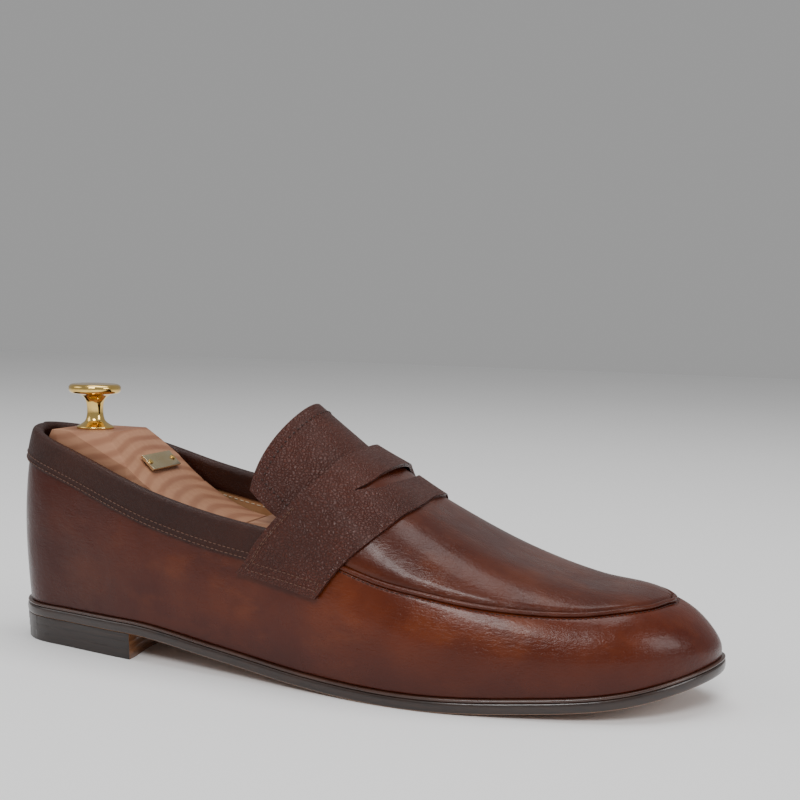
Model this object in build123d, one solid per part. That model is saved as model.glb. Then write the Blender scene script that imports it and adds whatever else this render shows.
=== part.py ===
from build123d import *
import math
import os
import numpy as np

# A right-foot penny loafer with the cedar shoe tree that stands in it.  Millimetres, +Z up.
# Shapes are worked out in the shoe's own frame: heel at x = 0, toe towards +X, lateral side -Y,
# ground at z = 0.  At the end every part moves so that the origin is under the middle of the shoe.

# ---- driving dimensions ------------------------------------------------------------------------
# plan outline of the sole edge, from the back of the heel along the lateral side to the toe and back
OUTLINE = [(0, 0), (10, -20), (28, -26), (60, -33), (110, -40), (155, -47.5), (200, -51.5),
           (245, -43.5), (282, -27.5), (302, 9.5), (286, 31), (255, 45.5), (215, 53), (165, 40),
           (120, 27), (80, 30), (45, 32.5), (20, 25)]
# tables of (stations, values); the stations are x unless said otherwise
UNDERSIDE = ([60, 66, 110, 150, 190, 230, 270, 304], [11.0, 11.0, 6.1, 1.6, 0.0, 1.6, 5.6, 14.2])
RIDGE = ([0, 60, 110, 150, 185, 220, 250, 275, 290, 310],
         [99, 102, 99, 92.5, 70, 52.5, 44, 41.5, 37, 22])
CENTRE = ([0, 100, 200, 300], [0, 1, 3, 9.6])
ARCH = ([0, 60, 110, 150, 190, 240, 302], [0.18, 0.21, 0.40, 0.58, 0.58, 0.50, 0.45])
CROWN = ([0, 200, 250, 302], [0.81, 0.81, 0.66, 0.62])
BULGE = ([0, 70, 160, 302], [0.06, 0.04, 0.04, 0.0])
TOPLINE = ([0, 40, 80, 120, 150, 175], [93, 81, 68.5, 61, 59, 58])
MEDIAL_RISE = ([0, 40, 110, 150], [0, 4, 8, 8])
# height fraction of the apron seam against the distance along the outline from the toe
SEAM = ([0, 0.03, 0.055, 0.09, 0.12, 0.17, 0.23, 0.27],
        [0.985, 0.968, 0.92, 0.857, 0.79, 0.68, 0.572, 0.56])
SPINE_FOCUS = 130.0
SPINE_RATIO = 0.76
UPPER_INSET = 1.6
SOLE_T = 5.8
HEEL_BREAST_X = 66.5
HEEL_H = 11.0

OUTSOLE_T = 4.4
RAND_T = 1.25
INSOLE_INSET = 5.6
INSOLE_T = 2.4
SOCK_T = 0.9

UPPER_T = 1.2
LINING = (2.2, 3.0)
COUNTER = (1.3, 2.1)
COUNTER_FRONT_X = 78.0
PUFF_BACK_X = 262.0
SEAM_GAP = 1.4
SEAM_CORD_LOW = 0.35
STRAP_OFFSETS = (1.25, 2.75)
BINDING_T = 0.75
BINDING_GAP = 0.30
BINDING_OUTSIDE = 12.0
BINDING_INSIDE = 7.0

TREE_CLEAR = 4.0
TREE_TRAVEL = 12.0
TREE_SPREAD = 2.0
TREE_TOP_Z = 92.0
KNOB_X = 31.5
ROD_D = 8.0
ROD_CLEAR = 0.05
ROD_Z = 48.0
PIN_D = 4.0


# ---- the shape of the shoe ---------------------------------------------------------------------
def smooth(table, x):
    """Smooth curve through a table of stations and values."""
    xs = np.asarray(table[0], float)
    ys = np.asarray(table[1], float)
    x = np.clip(np.asarray(x, float), xs[0], xs[-1])
    w = np.diff(xs)
    d = np.diff(ys) / w
    m = np.concatenate([[d[0]], (d[:-1] * w[1:] + d[1:] * w[:-1]) / (w[1:] + w[:-1]), [d[-1]]])
    i = np.clip(np.searchsorted(xs, x, side="right") - 1, 0, len(xs) - 2)
    s = (x - xs[i]) / w[i]
    return ((1 + 2 * s) * (1 - s) ** 2 * ys[i] + s * (1 - s) ** 2 * w[i] * m[i]
            + s * s * (3 - 2 * s) * ys[i + 1] + s * s * (s - 1) * w[i] * m[i + 1])


def closed_curve(points):
    """Closed cubic spline through points; the result maps t in 0..1 to a place on it."""
    p = np.asarray(points, float)
    n = len(p)
    chord = np.linalg.norm(np.roll(p, -1, 0) - p, axis=1) ** 0.75
    knots = np.concatenate([[0], np.cumsum(chord)])
    left = np.zeros((n, n))
    right = np.zeros_like(p)
    for i in range(n):
        a = chord[i - 1]
        b = chord[i]
        j = (i + 1) % n
        left[i, i - 1] += b
        left[i, i] += 2 * (a + b)
        left[i, j] += a
        right[i] = 3 * (b * (p[i] - p[i - 1]) / a + a * (p[j] - p[i]) / b)
    m = np.linalg.solve(left, right)

    def at(t):
        u = (np.asarray(t, float) % 1.0) * knots[-1]
        i = np.clip(np.searchsorted(knots, u, side="right") - 1, 0, n - 1)
        j = (i + 1) % n
        w = chord[i][..., None]
        s = (u - knots[i])[..., None] / w
        return ((1 + 2 * s) * (1 - s) ** 2 * p[i] + s * (1 - s) ** 2 * w * m[i]
                + s * s * (3 - 2 * s) * p[j] + s * s * (s - 1) * w * m[j])

    return at


sole_edge = closed_curve(OUTLINE)


def edge_inset(t, inset):
    """The sole edge moved inward, in plan."""
    t = np.asarray(t, float)
    d = sole_edge(t + 1e-4) - sole_edge(t - 1e-4)
    d = d / np.linalg.norm(d, axis=-1, keepdims=True)
    return sole_edge(t) + np.stack([-d[..., 1], d[..., 0]], -1) * inset


def floor_z(x):
    """Height of the sole's upper face."""
    return smooth(UNDERSIDE, x) + SOLE_T


def dome(t, h):
    """Outer face of the upper: t runs round the sole edge, h from the sole (0) to the ridge (1)."""
    t, h = np.broadcast_arrays(np.asarray(t, float), np.asarray(h, float))
    foot = edge_inset(t, UPPER_INSET)
    spine_x = SPINE_FOCUS + (foot[..., 0] - SPINE_FOCUS) * SPINE_RATIO
    spine = np.stack([spine_x, smooth(CENTRE, spine_x)], -1)
    sine = np.clip(h, 0, 1) ** (1 / smooth(CROWN, foot[..., 0]))
    reach = np.sqrt(np.clip(1 - sine ** 2, 0, 1)) ** smooth(ARCH, foot[..., 0])
    reach = reach * (1 + smooth(BULGE, foot[..., 0]) * np.sin(np.pi * np.clip(h, 0, 1)))
    xy = spine + (foot - spine) * reach[..., None]
    low = floor_z(xy[..., 0])
    z = low + (smooth(RIDGE, xy[..., 0]) - low) * h
    return np.concatenate([xy, z[..., None]], -1)


def radial(t):
    """Horizontal unit direction from the spine to the sole edge at t."""
    foot = edge_inset(t, UPPER_INSET)
    spine_x = SPINE_FOCUS + (foot[..., 0] - SPINE_FOCUS) * SPINE_RATIO
    d = foot - np.stack([spine_x, smooth(CENTRE, spine_x)], -1)
    return d / np.linalg.norm(d, axis=-1, keepdims=True)


def wall_point(t, h, inset, rise=0.0):
    """Point under the outer face by inset, and rise above it along the wall."""
    step = 2e-3
    up = dome(t, np.clip(h + step, 0, 0.999)) - dome(t, np.clip(h - step, 0, 0.999))
    d = radial(t)
    out = up[0] * d[0] + up[1] * d[1]
    length = math.hypot(out, up[2])
    tangent = np.array([d[0] * out, d[1] * out, up[2]]) / length
    normal = np.array([d[0] * up[2], d[1] * up[2], -out]) / length
    return dome(t, h) - normal * inset + tangent * rise


def rim_h(t):
    """Height fraction of the wall's top edge: the topline behind, the apron seam in front."""
    t = t % 1.0
    from_heel = min(t, 1 - t)
    seam = float(smooth(SEAM, 0.5 - from_heel))
    if from_heel > 0.26:
        return seam
    hs = np.linspace(0.2, 0.998, 300)
    wall = dome(t, hs)
    top = smooth(TOPLINE, wall[:, 0])
    if t > 0.5:
        top = top + smooth(MEDIAL_RISE, wall[:, 0])
    j = int(np.argmax(wall[:, 2] > top))
    topline = float(hs[j])
    b = min(max((from_heel - 0.20) / 0.06, 0), 1)
    b = b * b * (3 - 2 * b)
    return topline * (1 - b) + seam * b


def h_below(t, h, distance):
    """Height fraction of the point that lies a distance down the wall from h."""
    hs = np.linspace(0, h, 120)
    wall = dome(t, hs)
    run = np.concatenate([[0], np.cumsum(np.linalg.norm(np.diff(wall, axis=0), axis=1))])
    return float(np.interp(run[-1] - distance, run, hs))


PLAN_T = np.linspace(0, 1, 1441)[:-1]
PLAN_FOOT = edge_inset(PLAN_T, UPPER_INSET)
PLAN_SPINE_X = SPINE_FOCUS + (PLAN_FOOT[:, 0] - SPINE_FOCUS) * SPINE_RATIO
PLAN_SPINE = np.stack([PLAN_SPINE_X, smooth(CENTRE, PLAN_SPINE_X)], -1)


# ---- building blocks ---------------------------------------------------------------------------
def vectors(points):
    return [tuple(float(c) for c in p) for p in points]


def ring_wire(*sides, knots=None):
    """Closed wire of smooth sides (three points or more) and straight ones (two points).

    Lofted sections share the knots given, which run from 0 to 1 and are the same both ways round.
    """
    edges = []
    for side in sides:
        pts = [Vector(*p) for p in vectors(side)]
        if len(pts) == 2:
            edges.append(Edge.make_line(*pts))
        elif knots is not None:
            edges.append(Edge.make_spline(pts, parameters=[float(k) for k in knots]))
        else:
            edges.append(Edge.make_spline(pts))
    return Wire(edges)


def wall_section(t, h_low, h_high, outer, inner, rise=0.0):
    """Section of a layer of the wall, in the upright plane at t."""
    hs = np.linspace(h_low, h_high, 8)
    out = [wall_point(t, h, outer) for h in hs]
    inn = [wall_point(t, h, inner) for h in hs]
    if rise:
        out[-1] = wall_point(t, h_high, outer, rise)
        inn[-1] = wall_point(t, h_high, inner, rise)
    return ring_wire(out, [out[-1], inn[-1]], inn[::-1], [inn[0], out[0]], knots=np.linspace(0, 1, 8))


def wall_layer(ts, low, high, outer, inner):
    """Layer of the wall through the stations ts; low and high give the height fractions."""
    return Solid.make_loft([wall_section(t, low(t), high(t), outer, inner) for t in ts])


def full_wall(low, high, outer, inner):
    """Layer that goes all round the shoe."""
    lateral = wall_layer(np.linspace(0.0, 0.5, 22), low, high, outer, inner)
    medial = wall_layer(np.linspace(0.5, 1.0, 22), low, high, outer, inner)
    return lateral.fuse(medial)


def plan_prism(inset, low, high, count=64):
    """Upright prism over the sole edge moved inward."""
    pts = edge_inset(np.linspace(0, 1, count, endpoint=False), inset)
    outline = Edge.make_spline([Vector(x, y, low) for x, y in pts], periodic=True)
    return Solid.extrude(Face(Wire([outline])), Vector(0, 0, high - low))


def sole_slab(above_low, above_high, x_low=-20.0, x_high=330.0):
    """Slab that follows the underside of the sole, between two heights above it."""
    xs = np.linspace(x_low, x_high, 22)
    low = [(x, -80, float(smooth(UNDERSIDE, x)) + above_low) for x in xs]
    high = [(x, -80, float(smooth(UNDERSIDE, x)) + above_high) for x in xs]
    side = ring_wire(low, [low[-1], high[-1]], high[::-1], [high[0], low[0]])
    return Solid.extrude(Face(side), Vector(0, 160, 0))


def arch_line(x, hs, offset):
    """Line over the upper in the plane at x, from height fraction hs[0] to the crown and down."""
    sides = []
    for side in (-1, 1):
        ts = PLAN_T[PLAN_FOOT[:, 1] * side > 0]
        sides.append([on_side(x, h, side, ts, offset) for h in hs])
    return sides[0] + [crown_point(x, offset)] + sides[1][::-1]


def arch_section(x, hs, outer, inner):
    """Section of a layer that goes over the upper, in the plane at x."""
    out = arch_line(x, hs, outer)
    inn = arch_line(x, hs, inner)
    knots = np.linspace(0, 1, len(out))
    return ring_wire(out, [out[-1], inn[-1]], inn[::-1], [inn[0], out[0]], knots=knots)


def seam_prism(inset, x_back, low=20.0, high=110.0):
    """Upright prism inside the apron seam, closed behind at x_back."""
    pts = []
    for t in np.linspace(0.235, 0.765, 37):
        p = dome(t, rim_h(t))[:2] - radial(t) * inset
        pts.append((float(p[0]), float(p[1]), low))
    pts = [p for p in pts if p[0] > x_back]
    first = (x_back, pts[0][1], low)
    last = (x_back, pts[-1][1], low)
    outline = ring_wire([first] + pts + [last], [last, first])
    return Solid.extrude(Face(outline), Vector(0, 0, high - low))


def box_between(low, high):
    size = [b - a for a, b in zip(low, high)]
    return Solid.make_box(*size, Plane(low))


def cylinder(start, direction, radius, length):
    return Solid.make_cylinder(radius, length, Plane(start, z_dir=direction))


def only_solid(shape):
    """The one solid, or the largest, of a boolean's result."""
    return max(shape.solids(), key=lambda s: s.volume)


# ---- sole and heel -----------------------------------------------------------------------------
def outsole():
    return only_solid(plan_prism(0.0, -5, 60) & sole_slab(0.0, OUTSOLE_T))


def rand_strip():
    plate = plan_prism(0.25, -5, 60) & sole_slab(OUTSOLE_T, OUTSOLE_T + RAND_T)
    return only_solid(plate - plan_prism(9.0, -6, 61))


def cork_filler():
    pad = plan_prism(9.1, -5, 60) & sole_slab(OUTSOLE_T, OUTSOLE_T + RAND_T)
    return only_solid(pad - shank_blank(0.15))


def shank_blank(grow):
    lane = box_between((58 - grow, -6 - grow, -10), (128 + grow, 6 + grow, 60))
    return only_solid(lane & sole_slab(OUTSOLE_T + 0.15 - grow / 2, OUTSOLE_T + RAND_T - 0.05 + grow))


def shank():
    return shank_blank(0.0)


def insole():
    bottom = OUTSOLE_T + RAND_T
    return only_solid(plan_prism(INSOLE_INSET, -5, 60) & sole_slab(bottom, bottom + INSOLE_T))


def sock_lining():
    bottom = OUTSOLE_T + RAND_T + INSOLE_T
    return only_solid(plan_prism(INSOLE_INSET + 0.2, -5, 60) & sole_slab(bottom, bottom + SOCK_T))


def heel_layer(low, high, inset):
    """One lift of the heel; the breast is hollowed slightly."""
    blank = plan_prism(inset, low, high) & box_between((-10, -60, low), (HEEL_BREAST_X, 60, high))
    hollow_r = 150.0
    hollow = cylinder((HEEL_BREAST_X + hollow_r - 3.0, 1, low - 1), (0, 0, 1), hollow_r, high - low + 2)
    return only_solid(blank - hollow)


HEEL_STACK = [("heel_lift_upper", 7.7, HEEL_H, 0.3), ("heel_lift_lower", 4.4, 7.7, 0.5),
              ("heel_top_lift", 0.0, 4.4, 0.7)]
NAIL_PLACES = [(12, -11), (12, 11), (26, -18), (26, 18), (42, -20), (42, 20), (56, -20), (56, 20)]
NAIL_D = 2.0
NAIL_DEPTH = 6.5


def heel_nails(grow=0.0):
    pins = [cylinder((x, y, 0.3), (0, 0, 1), NAIL_D / 2 + grow, NAIL_DEPTH) for x, y in NAIL_PLACES]
    return pins


# ---- upper -------------------------------------------------------------------------------------
def side_wall():
    return full_wall(lambda t: 0.004, lambda t: h_below(t, rim_h(t), 1.2), 0.0, UPPER_T)


def side_lining():
    return full_wall(lambda t: 0.004, lambda t: h_below(t, rim_h(t), 2.0), *LINING)


def stiffener():
    """Band between the wall and its lining, that the heel counter and the toe puff are cut from."""
    return full_wall(lambda t: 0.035, lambda t: 0.62 * rim_h(t), *COUNTER)


def heel_counter(band):
    return only_solid(band & box_between((-20, -80, 0), (COUNTER_FRONT_X, 80, 120)))


def toe_puff(band):
    return only_solid(band & box_between((PUFF_BACK_X, -80, 0), (330, 80, 120)))


def seam_cord():
    """Raised cord that follows the apron seam round the toe."""
    sections = []
    for t in np.linspace(0.272, 0.728, 41):
        h = h_below(t, rim_h(t), SEAM_CORD_LOW)
        corners = [wall_point(t, h, -0.5, 0.0), wall_point(t, h, -0.5, 1.3),
                   wall_point(t, h, 0.9, 1.3), wall_point(t, h, 0.9, 0.0)]
        sections.append(Wire.make_polygon([Vector(*p) for p in vectors(corners)]))
    return Solid.make_loft(sections)


def binding_section(t):
    """Folded section over the topline at t."""
    top = rim_h(t)
    low = h_below(t, top, BINDING_OUTSIDE)
    low_in = h_below(t, top, BINDING_INSIDE)
    mid = h_below(t, top, BINDING_OUTSIDE / 2)
    mid_in = h_below(t, top, BINDING_INSIDE / 2)
    face = -BINDING_GAP
    back = LINING[1] + BINDING_GAP
    corners = [wall_point(t, low, face - BINDING_T), wall_point(t, mid, face - BINDING_T),
               wall_point(t, top, face - BINDING_T, 1.2), wall_point(t, top, back + BINDING_T, 1.2),
               wall_point(t, mid_in, back + BINDING_T), wall_point(t, low_in, back + BINDING_T),
               wall_point(t, low_in, back), wall_point(t, mid_in, back), wall_point(t, top, back, 0.3),
               wall_point(t, top, face, 0.3), wall_point(t, mid, face), wall_point(t, low, face)]
    return Wire.make_polygon([Vector(*p) for p in vectors(corners)])


def top_binding():
    """Folded strip over the topline, from under the strap round the heel and back."""
    step = 1 / 42
    lateral = Solid.make_loft([binding_section(k * step) for k in range(0, 11)])
    medial = Solid.make_loft([binding_section(k * step) for k in range(-10, 1)])
    return lateral.fuse(medial)


APRON_HS = [0.46, 0.53, 0.60, 0.68, 0.76, 0.84, 0.91, 0.96]


def apron():
    blank = Solid.make_loft([arch_section(x, APRON_HS, 0.0, -UPPER_T) for x in np.linspace(150, 279, 10)])
    return only_solid(blank & seam_prism(SEAM_GAP, 158.0))


def apron_lining():
    outer, inner = LINING
    blank = Solid.make_loft([arch_section(x, APRON_HS, -outer, -inner) for x in np.linspace(150, 279, 10)])
    return only_solid(blank & seam_prism(4.6, 156.0))


STRAP_REAR = [(119.5, 43.4), (123.2, 47.6), (126.0, 53.0), (130.5, 59.5), (140.5, 71.0), (149.5, 80.2),
              (154.5, 87.0), (156.5, 93.0), (157.0, 100.0)]
STRAP_FRONT = [(184.0, 100.0), (184.0, 74.0), (182.5, 68.0), (177.2, 62.6), (171.7, 57.5), (166.6, 52.6),
               (161.6, 46.5), (155.2, 37.4)]


def strap_blank(near, far):
    """Thick arch that lies on the upper from wall to wall."""
    hs = np.concatenate([np.linspace(0.26, 0.80, 7), [0.88, 0.94]])
    return Solid.make_loft([arch_section(x, hs, far, near) for x in np.linspace(114, 192, 9)])


def strap_side():
    """Prism whose side view is the strap's outline."""
    rear = [(x, -90, z) for x, z in STRAP_REAR]
    front = [(x, -90, z) for x, z in STRAP_FRONT]
    side = ring_wire(rear, [rear[-1], front[0]], front, [front[-1], rear[0]])
    return Solid.extrude(Face(side), Vector(0, 180, 0))


def crown_point(x, outward):
    return (x, float(smooth(CENTRE, x)), float(smooth(RIDGE, x)) + outward)


def on_side(x, h, side, ts, outward):
    """Point at x and height fraction h on one side, moved outward in the plane at x."""
    points = []
    for level in (h, min(h + 0.01, 0.995)):
        wall = dome(ts, level)
        order = np.argsort(wall[:, 0])
        points.append(dome(float(np.interp(x, wall[order, 0], ts[order])), level))
    dy, dz = (points[1] - points[0])[1:]
    n = math.hypot(dy, dz)
    y = points[0][1] + side * dz / n * outward
    z = points[0][2] - side * dy / n * outward
    return (x, float(y), float(z))


def saddle_strap():
    """Strap over the instep with its half-moon slot."""
    band = strap_blank(*STRAP_OFFSETS) & strap_side()
    back_edge = [(159.5, -36, 60), (165.5, -29, 60), (168.2, -16, 60), (168.8, 3, 60), (168.2, 22, 60),
                 (165.5, 35, 60), (159.5, 42, 60)]
    front_edge = [(159.5, 42, 60), (167.5, 36, 60), (172.0, 22, 60), (173.4, 3, 60), (172.0, -16, 60),
                  (167.5, -30, 60), (159.5, -36, 60)]
    slot = Solid.extrude(Face(ring_wire(back_edge, front_edge)), Vector(0, 0, 60))
    return only_solid(band - slot)


# x and z of the ridge, half-width and fall of the tongue's arch
TONGUE_STATIONS = [(134.0, 107.3, 30.0, 28.0), (141.8, 101.2, 32.0, 27.5), (148.0, 96.3, 33.5, 27.0),
                   (153.8, 91.4, 34.5, 26.0)]
TONGUE_T = 1.5
TONGUE_LEAN = math.radians(38)
TONGUE_ARC = math.radians(78)
TONGUE_ROOM = (0.8, 9.0)


def tongue():
    """Arched flap that stands up behind the strap and ends under it."""
    normal = np.array([math.sin(TONGUE_LEAN), 0, math.cos(TONGUE_LEAN)])
    angles = np.linspace(-TONGUE_ARC, TONGUE_ARC, 11)
    sections = []
    for x, z, half, drop in TONGUE_STATIONS:
        lines = []
        for inward in (0.0, TONGUE_T):
            y = 2.0 + (half - inward) * np.sin(angles)
            fall = inward + (drop - inward) * (1 - np.cos(angles))
            lines.append([np.array([x, yy, z]) - normal * f for yy, f in zip(y, fall)])
        out = lines[0]
        inn = lines[1]
        knots = np.linspace(0, 1, len(out))
        sections.append(ring_wire(out, [out[-1], inn[-1]], inn[::-1], [inn[0], out[0]], knots=knots))
    flap = Solid.make_loft(sections)
    return only_solid(flap - (strap_blank(*TONGUE_ROOM) & strap_side()))


# ---- shoe tree ---------------------------------------------------------------------------------
FOREPART_BACK_X = 120.0
FOREPART_FRONT_X = 283.0
CORE_HALF_W = 8.0
CORE_FRONT_X = 176.0


def forepart_section(x):
    """Rounded section of the forepart, clear of the lining."""
    arc = []
    for side in (-1, 1):
        ts = PLAN_T[(PLAN_FOOT[:, 1] * side > 0)]
        low_h = 0.16 if x < 200 else 0.22
        hs = np.concatenate([np.linspace(low_h, 0.62, 5), [0.74, 0.84]])
        line = [on_side(x, h, side, ts, -TREE_CLEAR - 1.6) for h in hs]
        arc = line if side < 0 else arc + [crown_point(x, -TREE_CLEAR - 2.5)] + line[::-1]
    base_l = arc[0]
    base_r = arc[-1]
    return ring_wire(arc, [base_r, base_l], knots=np.linspace(0, 1, 15))


def forepart_blank():
    xs = np.concatenate([np.linspace(FOREPART_BACK_X, 255, 11), [264.0, 271.0, 277.0]])
    return Solid.make_loft([forepart_section(x) for x in xs])


def forepart_pieces():
    """Toe halves and the core between their rear ends."""
    blank = forepart_blank() & box_between((FOREPART_BACK_X, -70, 0), (FOREPART_FRONT_X, 70, 62.0))
    y_mid = 2.5
    core_box = box_between((FOREPART_BACK_X, y_mid - CORE_HALF_W, 0), (CORE_FRONT_X, y_mid + CORE_HALF_W, 90))
    core = only_solid(blank & core_box)
    room = CORE_HALF_W + TREE_SPREAD + 0.4
    pocket = box_between((0, y_mid - room, -5), (CORE_FRONT_X + 1.0, y_mid + room, 95))
    slit = box_between((0, y_mid - TREE_SPREAD - 0.4, -5), (320, y_mid + TREE_SPREAD + 0.4, 95))
    halves = blank - pocket - slit
    lateral = only_solid(halves & box_between((0, -80, -5), (320, y_mid, 100)))
    medial = only_solid(halves & box_between((0, y_mid, -5), (320, 80, 100)))
    return core, lateral, medial


def spread_pins(y_mid=2.5, radius=PIN_D / 2, reach=24.0):
    """Two cross pins that guide the toe halves."""
    return [cylinder((x, y_mid - reach, z), (0, 1, 0), radius, 2 * reach) for x, z in ((140, 30), (164, 28))]


def guide_tube():
    outer = cylinder((FOREPART_BACK_X - 1.0, 2.5, ROD_Z), (1, 0, 0), ROD_D / 2 + 1.2, 50)
    bore = cylinder((FOREPART_BACK_X - 2.0, 2.5, ROD_Z), (1, 0, 0), ROD_D / 2 + ROD_CLEAR, 49)
    return only_solid(outer - bore)


def guide_rod():
    return cylinder((94.0, 2.5, ROD_Z), (1, 0, 0), ROD_D / 2, 42)


SPRING_WIRE_D = 1.2
SPRING_COIL_R = 3.0
SPRING_TURNS = 7


def main_spring():
    """Compression spring in the tube, in front of the rod."""
    length = 29.0
    coil = Edge.make_helix(length / SPRING_TURNS, length, SPRING_COIL_R)
    start = coil @ 0
    section = Wire.make_circle(SPRING_WIRE_D / 2, Plane(start, z_dir=coil % 0))
    spring = Solid.sweep(Face(section), Wire([coil]), is_frenet=True)
    return spring.rotate(Axis.Y, 90).translate(Vector(136.9, 2.5, ROD_Z))


def heel_side_profile():
    """Side view of the heel block and its arm."""
    return [(14, 30), (8, 50), (9, 70), (15, TREE_TOP_Z - 6), (19, TREE_TOP_Z), (47, TREE_TOP_Z),
            (55, 85), (66, 74.5), (76, 67.5), (88, 61.5), (106, 57), (106, 42), (88, 40.5), (76, 34), (70, 28)]


FACET_Y = 17.0
FACET_LEAN = math.radians(28)


def heel_block():
    """Cedar heel block with facets, and the arm in front of it."""
    pts = [(x, -60, z) for x, z in heel_side_profile()]
    rear = pts[:5]
    slope = pts[5:11]
    under = pts[11:15]
    side = ring_wire(rear, [pts[4], pts[5]], slope, [pts[10], pts[11]], under, [pts[14], pts[0]])
    blank = Solid.extrude(Face(side), Vector(0, 120, 0))
    plan = []
    for t in np.linspace(-0.118, 0.118, 25):
        x, y = edge_inset(t, UPPER_INSET + LINING[1] + TREE_CLEAR + 0.4)
        plan.append((float(x), float(y), 0.0))
    last = plan[-1]
    first = plan[0]
    arm_y = 14.0
    nose = [last, (80, -20, 0), (92, -15.5, 0), (106, 2.5 - arm_y, 0)]
    tail = [(106, 2.5 + arm_y, 0), (92, 19.5, 0), (80, 22, 0), first]
    outline = ring_wire(plan, nose, [nose[-1], tail[0]], tail)
    block = blank & Solid.extrude(Face(outline), Vector(0, 0, 120))
    for side_sign in (-1, 1):
        plane = Plane((30.0, side_sign * FACET_Y, TREE_TOP_Z),
                      z_dir=(0, side_sign * math.cos(FACET_LEAN), math.sin(FACET_LEAN)))
        block = block - Solid.make_box(200, 200, 60, moved_plane(plane, -100, -100, 0))
    block = block - cylinder((93.0, 2.5, ROD_Z), (1, 0, 0), ROD_D / 2 + 0.02, 20)
    block = block - cylinder((KNOB_X, 0, TREE_TOP_Z - 14), (0, 0, 1), 3.0, 20)
    return only_solid(block)


def knob():
    """Turned brass knob with a screw below its flange."""
    z0 = TREE_TOP_Z
    profile = [(0, z0 - 13.5), (2.95, z0 - 13.5), (2.95, z0 + 0.02), (8.0, z0 + 0.02), (8.0, z0 + 0.9),
               (6.2, z0 + 1.9), (4.2, z0 + 3.4), (3.5, z0 + 6.0), (3.5, z0 + 10.5), (4.3, z0 + 13.4),
               (6.6, z0 + 14.9), (9.8, z0 + 15.4), (11.2, z0 + 16.6), (11.2, z0 + 18.0), (10.2, z0 + 19.0),
               (0, z0 + 19.6)]
    outline = Wire.make_polygon([Vector(r, 0, z) for r, z in profile])
    return Solid.revolve(Face(outline), 360, Axis.Z).translate(Vector(KNOB_X, 0, 0))


PLATE_LONG = 24.0
PLATE_WIDE = 8.0
PLATE_T = 1.2
PLATE_AT = (62.2, 2.0, 79.2)
SLOPE = math.radians(43.5)


def plate_plane():
    return Plane(PLATE_AT, x_dir=(0, 1, 0), z_dir=(math.sin(SLOPE), 0, math.cos(SLOPE)))


def tree_plate():
    plane = plate_plane()
    plate = Solid.make_box(PLATE_LONG, PLATE_WIDE, PLATE_T, moved_plane(plane, -PLATE_LONG / 2, -PLATE_WIDE / 2, 0))
    for side_sign in (-1, 1):
        plate = plate - cylinder_on(plane, side_sign * (PLATE_LONG / 2 - 2.2), 0, -1, 0.72, 4)
    return only_solid(plate)


def moved_plane(plane, u, v, w):
    """The same directions, with the origin at a place given in the plane's own axes."""
    return Plane(plane.from_local_coords(Vector(u, v, w)), x_dir=plane.x_dir, z_dir=plane.z_dir)


def cylinder_on(plane, u, v, w, radius, length):
    return Solid.make_cylinder(radius, length, moved_plane(plane, u, v, w))


def plate_pins():
    plane = plate_plane()
    pins = []
    for side_sign in (-1, 1):
        u = side_sign * (PLATE_LONG / 2 - 2.2)
        shaft = cylinder_on(plane, u, 0, -4.0, 0.65, 4.0 + PLATE_T)
        head = cylinder_on(plane, u, 0, PLATE_T, 1.1, 0.5)
        pins.append(only_solid(shaft.fuse(head)))
    return pins


def cut_all(body, tools):
    for tool in tools:
        body = body - tool
    return only_solid(body)


# ---- assembly ----------------------------------------------------------------------------------
def build():
    parts = {
        "outsole": outsole(),
        "rand_strip": rand_strip(),
        "cork_filler": cork_filler(),
        "shank": shank(),
        "insole": insole(),
        "sock_lining": sock_lining(),
    }
    nails = heel_nails()
    nail_holes = heel_nails(0.05)
    for name, low, high, inset in HEEL_STACK:
        parts[name] = cut_all(heel_layer(low, high, inset), nail_holes)
    parts["heel_nails"] = Compound(nails)
    parts["side_wall"] = side_wall()
    parts["side_lining"] = side_lining()
    band = stiffener()
    parts["heel_counter"] = heel_counter(band)
    parts["toe_puff"] = toe_puff(band)
    parts["seam_cord"] = seam_cord()
    parts["top_binding"] = top_binding()
    parts["apron"] = apron()
    parts["apron_lining"] = apron_lining()
    parts["tongue"] = tongue()
    parts["saddle_strap"] = saddle_strap()

    core, lateral, medial = forepart_pieces()
    tube = guide_tube()
    tube_bore = cylinder((FOREPART_BACK_X - 2.0, 2.5, ROD_Z), (1, 0, 0), ROD_D / 2 + 1.22, 51.1)
    pins = spread_pins()
    parts["tree_core"] = cut_all(core, [tube_bore] + spread_pins(radius=PIN_D / 2 + 0.02))
    sliding = spread_pins(radius=PIN_D / 2 + 0.06, reach=27.0)
    parts["tree_toe_lateral"] = cut_all(lateral, sliding)
    parts["tree_toe_medial"] = cut_all(medial, sliding)
    parts["tree_spread_pins"] = Compound(pins)
    parts["tree_guide_tube"] = tube
    parts["tree_guide_rod"] = guide_rod()
    parts["tree_main_spring"] = main_spring()
    plate_pin_set = plate_pins()
    plane = plate_plane()
    pin_holes = [cylinder_on(plane, s * (PLATE_LONG / 2 - 2.2), 0, -4.3, 0.67, 6) for s in (-1, 1)]
    seat = Solid.make_box(60, 30, 12, moved_plane(plane, -30, -15, 0))
    parts["tree_heel_block"] = cut_all(heel_block(), pin_holes + [seat])
    parts["tree_knob"] = knob()
    parts["tree_plate"] = tree_plate()
    parts["tree_plate_pins"] = Compound(plate_pin_set)
    return parts


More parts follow.
